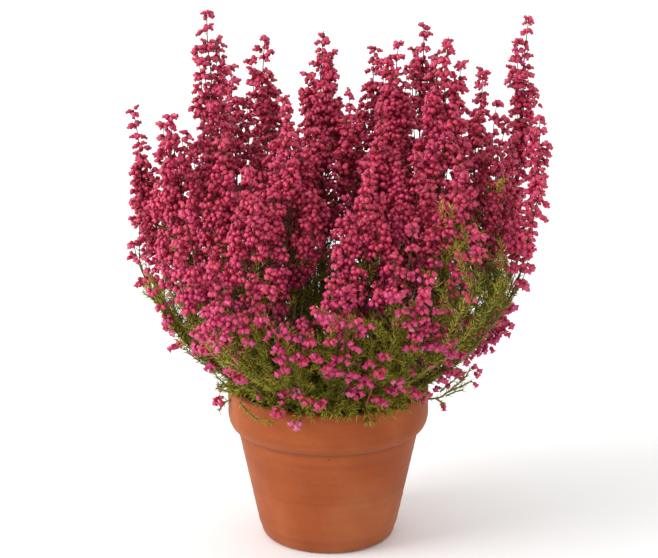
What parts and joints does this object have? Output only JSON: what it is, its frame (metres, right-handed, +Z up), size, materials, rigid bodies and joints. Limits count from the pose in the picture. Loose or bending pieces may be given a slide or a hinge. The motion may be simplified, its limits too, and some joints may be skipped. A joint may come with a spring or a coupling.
{
  "type": "potted cape heath",
  "caption": "Cape heath in a clay pot: a round bush of upright flower spikes set with small nodding crimson bells, over stems clad in short green needles.",
  "frame": {"origin": "middle of the pot's foot, on the surface it stands on", "axes": "+Z up along the pot's axis, +X to the right of the picture, +Y away from its viewer"},
  "size_m": [0.2446, 0.2163, 0.3135],
  "materials": {
    "clay": "unglazed fired clay, matt, with faint turning rings",
    "soil": "dark crumbly potting compost",
    "leafy_stem": "thin brown-green stems with olive needles",
    "flower": "crimson-pink waxy petals"
  },
  "bodies": {
    "root": {"pot": "clay", "potting_soil": "soil", "leafy_stem_01": "leafy_stem", "leafy_stem_02": "leafy_stem", "leafy_stem_03": "leafy_stem", "leafy_stem_04": "leafy_stem", "leafy_stem_05": "leafy_stem", "leafy_stem_06": "leafy_stem", "leafy_stem_07": "leafy_stem", "leafy_stem_08": "leafy_stem", "leafy_stem_09": "leafy_stem", "leafy_stem_10": "leafy_stem", "leafy_stem_11": "leafy_stem", "leafy_stem_12": "leafy_stem", "leafy_stem_13": "leafy_stem", "leafy_stem_14": "leafy_stem", "leafy_stem_15": "leafy_stem", "leafy_stem_16": "leafy_stem", "leafy_stem_17": "leafy_stem", "flower_spike_01": "flower", "flower_spike_02": "flower", "flower_spike_03": "flower", "flower_spike_04": "flower", "flower_spike_05": "flower", "flower_spike_06": "flower", "flower_spike_07": "flower", "flower_spike_08": "flower", "flower_spike_09": "flower", "flower_spike_10": "flower", "flower_spike_11": "flower", "flower_spike_12": "flower", "flower_spike_13": "flower", "flower_spike_14": "flower", "flower_spike_15": "flower", "flower_spike_16": "flower", "flower_spike_17": "flower", "flower_spike_18": "flower", "flower_spike_19": "flower", "flower_spike_20": "flower", "flower_spike_21": "flower", "flower_spike_22": "flower", "flower_spike_23": "flower", "flower_spike_24": "flower", "flower_spike_25": "flower", "flower_spike_26": "flower", "flower_spike_27": "flower", "flower_spike_28": "flower", "flower_spike_29": "flower", "flower_spike_30": "flower", "flower_spike_31": "flower", "flower_spike_32": "flower", "flower_spike_33": "flower", "flower_spike_34": "flower", "flower_spike_35": "flower", "flower_spike_36": "flower", "flower_spike_37": "flower", "flower_spike_38": "flower", "flower_spike_39": "flower", "flower_spike_40": "flower", "flower_spike_41": "flower"}
  },
  "joints": []
}
